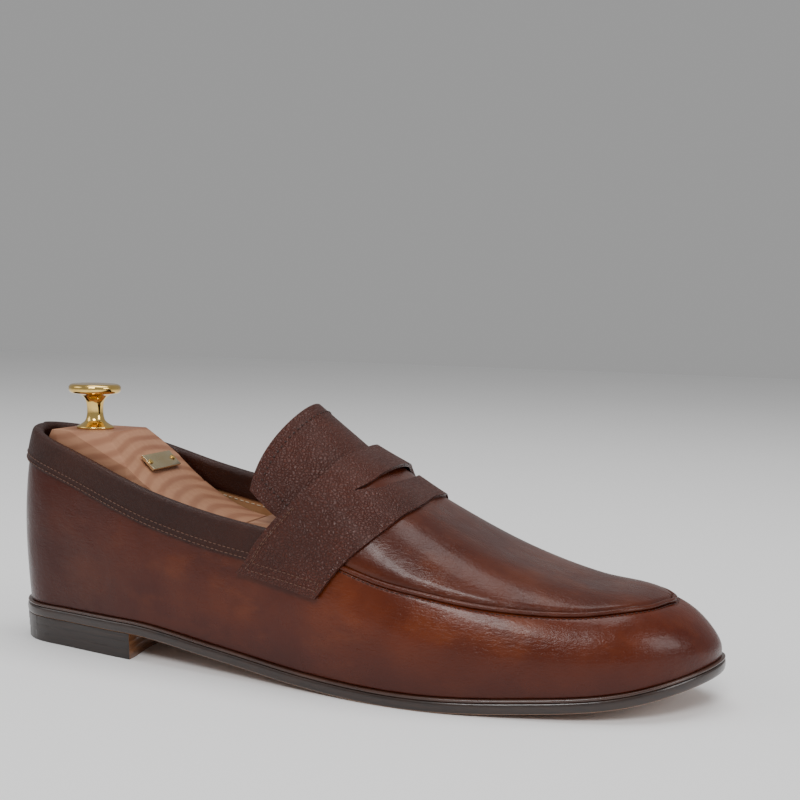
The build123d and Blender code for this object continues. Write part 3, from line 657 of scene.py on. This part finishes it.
def apron():
    """Plug of the vamp inside the seam, from under the strap to the toe."""
    rows = []
    across = 26
    for t in np.concatenate([np.linspace(0.268, T_TIP - 0.002, 110), [T_TIP]]):
        halves = []
        for side_t in (t, twin(t, T_TIP, 0.9)):
            h0 = h_below(side_t, rim_h(side_t), 0.2)
            q = np.linspace(0, 1, across)
            hs = 1 - (1 - h0) * (1 - q) ** 3
            halves.append(dome(side_t, np.minimum(hs, 1.0)))
        rows.append(np.concatenate([halves[0], halves[1][::-1][1:]]))
    grid = np.array(rows)
    nrm = grid_normals(grid)
    nrm[-1] = nrm[-2]
    nrm = np.where(nrm[..., 2:3] < 0, -nrm, nrm)
    from_lateral = np.linalg.norm(grid - grid[:, :1], axis=2)
    from_medial = np.linalg.norm(grid - grid[:, -1:], axis=2)
    edge = np.minimum(from_lateral, from_medial)
    lift = APRON_LIFT - APRON_TURN * np.exp(-(edge / APRON_TURN_REACH) ** 2)
    grid = grid + nrm * lift[..., None]
    obj = sheet_from_grid("vamp_apron", grid, APRON_CALF, APRON_T, offset=-1.0, bevel=0.3)
    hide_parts("apron", "apron_lining")


def seam():
    """Raised cord round the apron, with a row of stitches in the wall below it."""
    path = []
    normals = []
    stitch_path = []
    for t in np.linspace(SEAM_START, 1 - SEAM_START, 420):
        p, n = below_rim(t, 0.7, 0.15)
        path.append(p)
        normals.append(n)
        stitch_path.append(below_rim(t, 2.6, 0.0)[0])
    cord = tube("apron_seam_cord", path, SEAM_CORD_R, APRON_CALF)
    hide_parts("seam_cord")
    row = stitches("seam_stitches", stitch_path, normals, 1.3, 2.0, 0.16, DARK_THREAD)


# ---- strap ----------------------------------------------------------------------------------------
ARCH_HS = 1 - (1 - 0.1) * (1 - np.linspace(0, 1, 90)) ** 3.2
SIDE_TS = {-1: np.linspace(0.12, 0.49, 240), 1: np.linspace(0.51, 0.88, 240)}
SIDE_DOME = {side: dome(ts[None, :], ARCH_HS[:, None]) for side, ts in SIDE_TS.items()}
# axis along the shoe that the angles over the strap and tongue are measured round
HUB_Y = 2.5
HUB_Z = 30.0


def arch(x):
    """The upper's section in the plane at x, from the lateral wall over the crown to the medial."""
    halves = []
    for side in (-1, 1):
        block = SIDE_DOME[side]
        line = []
        for row in block[:-1]:
            order = np.argsort(row[:, 0])
            y, z = (np.interp(x, row[order, 0], row[order, i]) for i in (1, 2))
            line.append([x, y, z])
        halves.append(np.array(line))
    crown = np.array([[x, float(smooth(CENTRE, x)), float(smooth(RIDGE, x))]])
    return np.concatenate([halves[0], crown, halves[1][::-1]])


ARCH_XS = np.linspace(110, 192, 83)
ARCH_LINES = [arch(x) for x in ARCH_XS]
ARCH_PHI = [np.arctan2(line[:, 1] - HUB_Y, line[:, 2] - HUB_Z) for line in ARCH_LINES]
PHIS = np.linspace(-1.75, 1.75, 281)
ARCH_R = np.array([np.interp(PHIS, phi, np.hypot(line[:, 1] - HUB_Y, line[:, 2] - HUB_Z))
                   for phi, line in zip(ARCH_PHI, ARCH_LINES)])


def over(x, phi):
    """Point on the upper at x, at the angle phi from upright."""
    i = np.clip((x - ARCH_XS[0]) / (ARCH_XS[1] - ARCH_XS[0]), 0, len(ARCH_XS) - 1.001)
    j = np.clip((phi - PHIS[0]) / (PHIS[1] - PHIS[0]), 0, len(PHIS) - 1.001)
    a = int(i)
    b = int(j)
    u = i - a
    v = j - b
    r = ((1 - u) * (1 - v) * ARCH_R[a, b] + u * (1 - v) * ARCH_R[a + 1, b]
         + (1 - u) * v * ARCH_R[a, b + 1] + u * v * ARCH_R[a + 1, b + 1])
    return np.array([x, HUB_Y + r * math.sin(phi), HUB_Z + r * math.cos(phi)])


def over_normal(p):
    """Outward normal of the upper near a point on it."""
    phi = math.atan2(p[1] - HUB_Y, p[2] - HUB_Z)
    along = over(p[0] + 0.8, phi) - over(p[0] - 0.8, phi)
    across = over(p[0], phi + 0.02) - over(p[0], phi - 0.02)
    n = unit(np.cross(along, across))
    return n if np.dot(n, p - np.array([p[0], HUB_Y, HUB_Z])) > 0 else -n


def phi_at(x, z, side):
    """Angle at which the upper has the height z in the plane at x."""
    line = arch(x)
    middle = int(np.argmax(line[:, 2]))
    half = line[:middle + 1] if side < 0 else line[middle:][::-1]
    y = np.interp(z, half[:, 2], half[:, 1])
    return math.atan2(y - HUB_Y, z - HUB_Z)


def edge_table(points, top_x):
    """x of a strap edge against the angle, for both sides."""
    lateral = [(phi_at(x, z, -1), x) for x, z in points]
    medial = [(phi_at(x, z, 1), x) for x, z in points]
    table = sorted(lateral + [(0.0, top_x)] + medial)
    return [p[0] for p in table], [p[1] for p in table]


REAR_TABLE = edge_table(STRAP_REAR, STRAP_REAR_TOP_X)
FRONT_TABLE = edge_table(STRAP_FRONT, STRAP_FRONT_TOP_X)
# x and y of the two edges of the half-moon slot, seen from above
SLOT_BACK = [(163.0, -31), (166.6, -25), (168.2, -15), (168.8, 3), (168.2, 21), (166.6, 31),
             (163.0, 37)]
SLOT_FRONT = [(163.0, -31), (169.2, -25.5), (172.4, -15), (173.6, 3), (172.4, 21), (169.2, 31.5),
              (163.0, 37)]


def slot_fraction(points):
    """How far from the rear edge to the front edge the slot lies, against the angle."""
    phis = []
    fractions = []
    for x, y in points:
        line = arch(x)
        phi = np.arctan2(line[:, 1] - HUB_Y, line[:, 2] - HUB_Z)
        angle = float(np.interp(y, line[:, 1][30:-30], phi[30:-30]))
        rear = float(smooth(REAR_TABLE, angle))
        front = float(smooth(FRONT_TABLE, angle))
        phis.append(angle)
        fractions.append((x - rear) / (front - rear))
    return phis, fractions


BACK_CUT = slot_fraction(SLOT_BACK)
FRONT_CUT = slot_fraction(SLOT_FRONT)


STRAP_STEPS = 141
STRAP_REAR_ROWS = 16
STRAP_FRONT_ROWS = 12
STRAP_T = 1.7
STRAP_OUT = 0.9
# over the slot the rear part lifts and the front part dips
SLOT_LIFT = 2.0
SLOT_DIP = 0.5
# length of strap that turns the margins of its stitches into fractions of it
STITCH_SPAN = 46.0


def strap_grid(rows, start, stop):
    """Grid over the strap; start and stop give fractions of its width against the angle."""
    grid = []
    weights = []
    ends = {-1: (phi_at(*STRAP_REAR[0], -1), phi_at(*STRAP_FRONT[0], -1)),
            1: (phi_at(*STRAP_REAR[0], 1), phi_at(*STRAP_FRONT[0], 1))}
    for v in np.linspace(-1, 1, STRAP_STEPS):
        side = -1 if v < 0 else 1
        line = []
        weight = []
        for w in np.linspace(0, 1, rows):
            rear_end, front_end = ends[side]
            phi = abs(v) * rear_end
            fraction = start(phi) + (stop(phi) - start(phi)) * w
            phi = abs(v) * (rear_end + (front_end - rear_end) * fraction)
            fraction = start(phi) + (stop(phi) - start(phi)) * w
            x = float(smooth(REAR_TABLE, phi)) * (1 - fraction) + float(smooth(FRONT_TABLE, phi)) * fraction
            line.append(over(x, phi))
            inside = (phi - BACK_CUT[0][0]) / (BACK_CUT[0][-1] - BACK_CUT[0][0])
            weight.append(math.sin(math.pi * min(max(inside, 0), 1)) ** 2 if 0 < inside < 1 else 0.0)
        grid.append(line)
        weights.append(weight)
    return np.array(grid), np.array(weights)


def cut_at(table):
    return lambda phi: float(smooth(table, phi))


def saddle_strap():
    """Band over the vamp in two parts, behind the slot and in front of it, joined at its tips."""
    rear, rear_weight = strap_grid(STRAP_REAR_ROWS, lambda phi: 0.0, cut_at(BACK_CUT))
    front, front_weight = strap_grid(STRAP_FRONT_ROWS, cut_at(FRONT_CUT), lambda phi: 1.0)
    rear_n = -grid_normals(rear)
    front_n = -grid_normals(front)
    if rear_n[STRAP_STEPS // 2, STRAP_REAR_ROWS // 2, 2] < 0:
        rear_n = -rear_n
        front_n = -front_n
    w = np.linspace(0, 1, STRAP_REAR_ROWS)
    rear = rear + rear_n * (STRAP_OUT + SLOT_LIFT * rear_weight * (w ** 2)[None, :])[..., None]
    w = np.linspace(0, 1, STRAP_FRONT_ROWS)
    front = front + front_n * (STRAP_OUT - SLOT_DIP * front_weight * (1 - w)[None, :] ** 2)[..., None]
    points = np.concatenate([rear.reshape(-1, 3), front.reshape(-1, 3)])
    faces = (grid_faces(STRAP_STEPS, STRAP_REAR_ROWS)
             + grid_faces(STRAP_STEPS, STRAP_FRONT_ROWS, start=STRAP_STEPS * STRAP_REAR_ROWS))
    obj = make("saddle_band", points, faces, GRAIN)
    thicken(obj, STRAP_T, 1.0 if normal_points_out(obj) else -1.0, 0.45)
    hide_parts("saddle_strap")
    strap_stitches(STRAP_OUT + STRAP_T)


def normal_points_out(obj):
    """Whether the faces of an arch over the shoe look upward on the whole."""
    return sum(f.normal.z * f.area for f in obj.data.polygons) > 0


def strap_stitches(out):
    """Two rows of stitches round each end of the strap, standing out from the upper by a distance."""
    for side, label in ((-1, "lateral"), (1, "medial")):
        rear_end = phi_at(*STRAP_REAR[0], side)
        front_end = phi_at(*STRAP_FRONT[0], side)
        for k, margin in enumerate((2.2, 4.6)):
            path = []
            up = margin / STITCH_SPAN
            rise = 0.93 if k == 0 else 0.95
            rear = 0.05 + up * 0.4
            front = 0.97 - up * 0.4
            end = 1 - up * 0.8
            stops = [(rear, 0.62), (rear, end), (front, end), (front, rise)]
            for (wa, va), (wb, vb) in zip(stops[:-1], stops[1:]):
                for s in np.linspace(0, 1, 24):
                    w = wa + (wb - wa) * s
                    v = va + (vb - va) * s
                    phi = v * (rear_end + (front_end - rear_end) * w)
                    x = float(smooth(REAR_TABLE, phi)) * (1 - w) + float(smooth(FRONT_TABLE, phi)) * w
                    path.append(over(x, phi))
            path = np.array(path)
            keep = np.concatenate([[True], np.linalg.norm(np.diff(path, axis=0), axis=1) > 1e-6])
            path = path[keep]
            normals = np.array([over_normal(p) for p in path])
            row = stitches(f"strap_stitches_{label}_{k + 1}", path + normals * (out + 0.05), normals,
                           1.3, 2.0, 0.18, THREAD)


# ---- tongue ---------------------------------------------------------------------------------------
# half-width and fall of the tongue's arch against the distance from its free edge
TONGUE_HALF = ([0, 10, 23, 38], [30.5, 34.5, 38.9, 41.0])
TONGUE_FALL = ([0, 10, 23, 38], [35.0, 34.4, 33.3, 30.0])
TONGUE_LEAN = math.radians(38)
TONGUE_START = (134.0, 107.3)
TONGUE_ARC = math.radians(78)
TONGUE_LENGTH = 37.0
TONGUE_T = 1.8
TONGUE_CORNER = 8.0
# how far the outer face stands off the upper where the strap covers it
TUCK = 0.1


def tongue_point(s, a, inward=0.0):
    """s runs down the tongue from its free edge, a is the angle round its arch."""
    along = np.array([math.cos(TONGUE_LEAN), 0, -math.sin(TONGUE_LEAN)])
    normal = np.array([math.sin(TONGUE_LEAN), 0, math.cos(TONGUE_LEAN)])
    half = float(smooth(TONGUE_HALF, s))
    drop = float(smooth(TONGUE_FALL, s))
    base = np.array([TONGUE_START[0], 2.0, TONGUE_START[1]]) + along * s
    fall = inward + (drop - inward) * (1 - math.cos(a)) / (1 - math.cos(TONGUE_ARC))
    p = base + np.array([0, (half - inward) * math.sin(a), 0]) - normal * fall
    phi = math.atan2(p[1] - HUB_Y, p[2] - HUB_Z)
    under = (p[0] - float(smooth(REAR_TABLE, phi)) + 4.0) / 5.0
    under = min(max(under, 0), 1)
    under = under * under * (3 - 2 * under)
    r = math.hypot(p[1] - HUB_Y, p[2] - HUB_Z)
    cover = over(p[0], phi)
    r_cover = math.hypot(cover[1] - HUB_Y, cover[2] - HUB_Z) + TUCK - inward
    r = r + (min(r, r_cover) - r) * under
    return np.array([p[0], HUB_Y + r * math.sin(phi), HUB_Z + r * math.cos(phi)])


def tongue_edge(a):
    """The free edge is rounded at its two corners."""
    return TONGUE_CORNER * abs(a / TONGUE_ARC) ** 5 + (a / TONGUE_ARC) ** 2


def tongue():
    """Arched flap that rises behind the strap, with a row of stitches inside its edge."""
    angles = np.linspace(-TONGUE_ARC, TONGUE_ARC, 97)
    rows = []
    for w in np.linspace(0, 1, 40):
        rows.append([tongue_point(tongue_edge(a) + (TONGUE_LENGTH - tongue_edge(a)) * w, a)
                     for a in angles])
    obj = sheet_from_grid("tongue_flap", np.array(rows), GRAIN, TONGUE_T, offset=-1.0, bevel=0.5)
    if not normal_points_out(obj):
        obj.modifiers["thickness"].offset = 1.0
    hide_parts("tongue")
    path = []
    margin = 5.0
    side = math.radians(69)
    corner = TONGUE_CORNER + margin
    end = 34
    for s in np.linspace(end, corner, 16):
        path.append((s, -side))
    for a in np.linspace(-side, side, 60):
        path.append((tongue_edge(a) + margin, a))
    for s in np.linspace(corner, end, 16):
        path.append((s, side))
    places = np.array([tongue_point(s, a) for s, a in path])
    inner = np.array([tongue_point(s, a, 1.5) for s, a in path])
    row = stitches("tongue_stitches", places, unit(places - inner), 1.0, 2.6, 0.36, DARK_THREAD)


# ---- sole and heel --------------------------------------------------------------------------------
def plate(name, material, profile):
    """Closed layer of the sole: profile gives (inset, height above the underside) up its edge."""
    lateral = np.concatenate([[T_BACK], np.linspace(T_BACK + 0.0015, T_TIP - 0.0015, 150), [T_TIP]])
    inward = [0.96, 0.85, 0.65, 0.4, 0.15, 0.0]
    loops = []
    for t in lateral:
        halves = []
        for side_t in (t, twin(t, T_TIP, 1.0 + T_BACK)):
            foot = edge_inset(side_t, UPPER_INSET)
            spine = spine_of(foot[0])
            line = []
            edge = [(edge_inset(side_t, inset), height) for inset, height in profile]
            for f in inward[::-1]:
                xy = spine + (edge[0][0] - spine) * f
                line.append([xy[0], xy[1], float(smooth(UNDERSIDE, xy[0])) + edge[0][1]])
            for xy, height in edge:
                line.append([xy[0], xy[1], float(smooth(UNDERSIDE, xy[0])) + height])
            for f in inward:
                xy = spine + (edge[-1][0] - spine) * f
                line.append([xy[0], xy[1], float(smooth(UNDERSIDE, xy[0])) + edge[-1][1]])
            halves.append(line)
        loops.append(halves[0] + halves[1][::-1])
    grid = np.array(loops)
    return make(name, grid, grid_faces(len(grid), grid.shape[1], close_v=True), material)


def outsole():
    """Leather sole with its edge rounded above and below."""
    top = OUTSOLE_T
    profile = [(3.2, 0.0), (0.9, 0.0), (0.45, 0.12), (0.15, 0.45), (0.0, 1.0), (-0.12, 2.2),
               (0.0, top - 1.0), (0.15, top - 0.4), (0.45, top - 0.08), (0.9, top), (3.0, top)]
    obj = plate("sole_plate", SOLE_EDGE, profile)
    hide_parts("outsole")


def rand_strip():
    """Narrow rand between the sole and the upper, which also covers the filler and the shank."""
    low = OUTSOLE_T
    high = OUTSOLE_T + RAND_T
    profile = [(3.0, low), (0.55, low), (0.25, low + 0.25), (0.15, low + 0.6), (0.3, high - 0.2),
               (0.6, high), (3.0, high + 0.1)]
    obj = plate("rand", RAND, profile)
    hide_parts("rand_strip", "cork_filler", "shank")


def bevelled_copy(node, name, material, width, body="root", angle=30, flat=1.0):
    """Copy of a CAD solid with its sharp edges rounded."""
    mesh = NODES[node].data.copy()
    mesh.name = name
    mesh.materials.clear()
    mesh.materials.append(material)
    for polygon in mesh.polygons:
        polygon.material_index = 0
    bm = bmesh.new()
    bm.from_mesh(mesh)
    bmesh.ops.remove_doubles(bm, verts=bm.verts, dist=1e-6)
    bmesh.ops.dissolve_limit(bm, angle_limit=math.radians(flat), verts=bm.verts, edges=bm.edges)
    bm.to_mesh(mesh)
    bm.free()
    obj = bpy.data.objects.new(name, mesh)
    bpy.context.scene.collection.objects.link(obj)
    for polygon in mesh.polygons:
        polygon.use_smooth = True
    edge = obj.modifiers.new("edges", "BEVEL")
    edge.width = width / 1000
    edge.segments = 3
    edge.limit_method = "ANGLE"
    edge.angle_limit = math.radians(angle)
    edge.harden_normals = True
    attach(obj, body)
    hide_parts(node)
    return obj


def lathe(name, profile, centre, material, body, sides=64):
    """Turned shape: profile gives (radius, height) from its foot to its top."""
    a = np.linspace(0, 2 * math.pi, sides, endpoint=False)
    rows = [[(centre[0] + r * math.cos(b), centre[1] + r * math.sin(b), z) for b in a] for r, z in profile]
    grid = np.array(rows)
    faces = grid_faces(len(grid), sides, close_v=True)
    faces.append(tuple(range(sides)))
    faces.append(tuple(reversed(range((len(grid) - 1) * sides, len(grid) * sides))))
    return make(name, grid, faces, material, body)


def rounded(points, steps=5, share=0.45):
    """Polyline with its corners rounded off."""
    out = [points[0]]
    for a, b, c in zip(points[:-2], points[1:-1], points[2:]):
        a, b, c = np.array(a, float), np.array(b, float), np.array(c, float)
        cut = min(np.linalg.norm(a - b), np.linalg.norm(c - b)) * share
        start = b + unit(a - b) * cut
        stop = b + unit(c - b) * cut
        for s in np.linspace(0, 1, steps):
            out.append(tuple((1 - s) ** 2 * start + 2 * s * (1 - s) * b + s * s * stop))
    out.append(points[-1])
    return out


KNOB_HEIGHT = 19.6


def knob():
    """Turned brass knob; z0 is the top of the heel block, where its shank goes in."""
    low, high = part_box("tree_knob")
    centre = ((low.x + high.x) * 500 + SHIFT[0], (low.y + high.y) * 500 + SHIFT[1])
    z0 = high.z * 1000 - KNOB_HEIGHT
    profile = [(2.9, z0 - 13.4), (2.9, z0 + 0.02), (8.0, z0 + 0.02), (8.0, z0 + 1.0), (6.0, z0 + 2.0),
               (4.2, z0 + 3.4), (3.5, z0 + 6.0), (3.5, z0 + 9.8), (4.1, z0 + 12.6), (6.2, z0 + 14.6),
               (10.4, z0 + 15.4), (11.2, z0 + 16.4), (11.2, z0 + 18.3), (10.0, z0 + 19.2),
               (0.2, z0 + KNOB_HEIGHT)]
    obj = lathe("brass_knob", rounded(profile), centre, BRASS, "tree_heel")
    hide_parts("tree_knob")


def carried_over():
    """CAD nodes that keep their own mesh and get a finish."""
    finishes = {"insole": BOARD, "sock_lining": LINING, "heel_counter": BOARD, "toe_puff": BOARD,
                "heel_nails": BRASS, "tree_guide_rod": STEEL, "tree_guide_tube": STEEL,
                "tree_spread_pins": STEEL, "tree_plate_pins": BRASS}
    for node, material in finishes.items():
        mesh = NODES[node].data
        mesh.materials.clear()
        mesh.materials.append(material)


def main_spring():
    """Copy of the main spring in steel, riding on the root body, with a mesh of its own."""
    mesh = NODES["tree_main_spring"].data.copy()
    mesh.name = "spring_coil"
    mesh.materials.clear()
    mesh.materials.append(STEEL)
    obj = bpy.data.objects.new("spring_coil", mesh)
    bpy.context.scene.collection.objects.link(obj)
    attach(obj, "root")
    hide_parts("tree_main_spring")
    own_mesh(obj)


# ---- build ----------------------------------------------------------------------------------------
side_wall()
side_lining()
top_binding()
apron()
seam()
saddle_strap()
tongue()
outsole()
rand_strip()
for lift in ("heel_lift_upper", "heel_lift_lower", "heel_top_lift"):
    bevelled_copy(lift, lift + "_shown", HEEL, 0.25, angle=45)
bevelled_copy("tree_heel_block", "cedar_heel_block", CEDAR, 0.5, "tree_heel", angle=25, flat=2.0)
bevelled_copy("tree_core", "cedar_core", CEDAR, 0.4, angle=35)
bevelled_copy("tree_toe_lateral", "cedar_toe_lateral", CEDAR, 0.4,
              "tree_toe_lateral_half", angle=40)
bevelled_copy("tree_toe_medial", "cedar_toe_medial", CEDAR, 0.4,
              "tree_toe_medial_half", angle=40)
bevelled_copy("tree_plate", "brass_plate", PLATE_BRASS, 0.35, "tree_heel", angle=45)
knob()
main_spring()
carried_over()

# ---- floor, light and camera ----------------------------------------------------------------------
floor_mesh = bpy.data.meshes.new("floor")
floor_mesh.from_pydata([(-3, -3, 0), (3, -3, 0), (3, 3, 0), (-3, 3, 0)], [], [(0, 1, 2, 3)])
floor = bpy.data.objects.new("floor", floor_mesh)
bpy.context.scene.collection.objects.link(floor)
pale = Graph("pale_floor", Roughness=0.9)
pale.colour(pale.mix(pale.noise(3, 2), (0.90, 0.90, 0.90), (0.93, 0.93, 0.93)))
floor_mesh.materials.append(pale.material)

world = bpy.data.worlds.new("studio")
bpy.context.scene.world = world
world.use_nodes = True
world.node_tree.nodes["Background"].inputs["Color"].default_value = (1, 1, 1, 1)
world.node_tree.nodes["Background"].inputs["Strength"].default_value = 0.36


def area_light(name, place, aim, size, power):
    light = bpy.data.lights.new(name, "AREA")
    light.shape = "RECTANGLE"
    light.size, light.size_y = size
    light.energy = power
    obj = bpy.data.objects.new(name, light)
    obj.location = place
    obj.rotation_euler = (Vector(aim) - Vector(place)).to_track_quat("-Z", "Y").to_euler()
    bpy.context.scene.collection.objects.link(obj)


area_light("key", (0.25, -1.3, 1.25), (0, 0, 0.04), (0.7, 0.5), 17)
area_light("fill", (-1.3, -0.7, 0.9), (0, 0, 0.04), (0.9, 0.9), 4)
area_light("top", (0.0, 0.2, 1.5), (0, 0, 0.0), (1.2, 0.8), 11)
area_light("front", (1.4, -0.2, 0.7), (0, 0, 0.04), (0.6, 0.6), 6)

# the camera's place was found by fitting the shoe's outline to the photograph's
AZIMUTH = math.radians(20.22)
ELEVATION = math.radians(11.36)
ROLL = math.radians(1.36)
DISTANCE = 0.5336
AIM = (150.0, 0.0, 40.0)
target = (np.array(AIM) - SHIFT) / 1000
back = Vector((math.sin(AZIMUTH) * math.cos(ELEVATION), -math.cos(AZIMUTH) * math.cos(ELEVATION),
               math.sin(ELEVATION)))
flat_right = Vector((math.cos(AZIMUTH), math.sin(AZIMUTH), 0))
flat_up = back.cross(flat_right)
right = flat_right * math.cos(ROLL) + flat_up * math.sin(ROLL)
up = flat_up * math.cos(ROLL) - flat_right * math.sin(ROLL)
camera_data = bpy.data.cameras.new("camera")
camera_data.lens = 58.14
camera_data.sensor_width = 36.0
camera_data.shift_x = 0.066
camera_data.shift_y = 0.212
camera = bpy.data.objects.new("camera", camera_data)
place = Vector(target) + back * DISTANCE
camera.matrix_world = Matrix(((right.x, up.x, back.x, place.x), (right.y, up.y, back.y, place.y),
                              (right.z, up.z, back.z, place.z), (0, 0, 0, 1)))
bpy.context.scene.collection.objects.link(camera)
bpy.context.scene.camera = camera
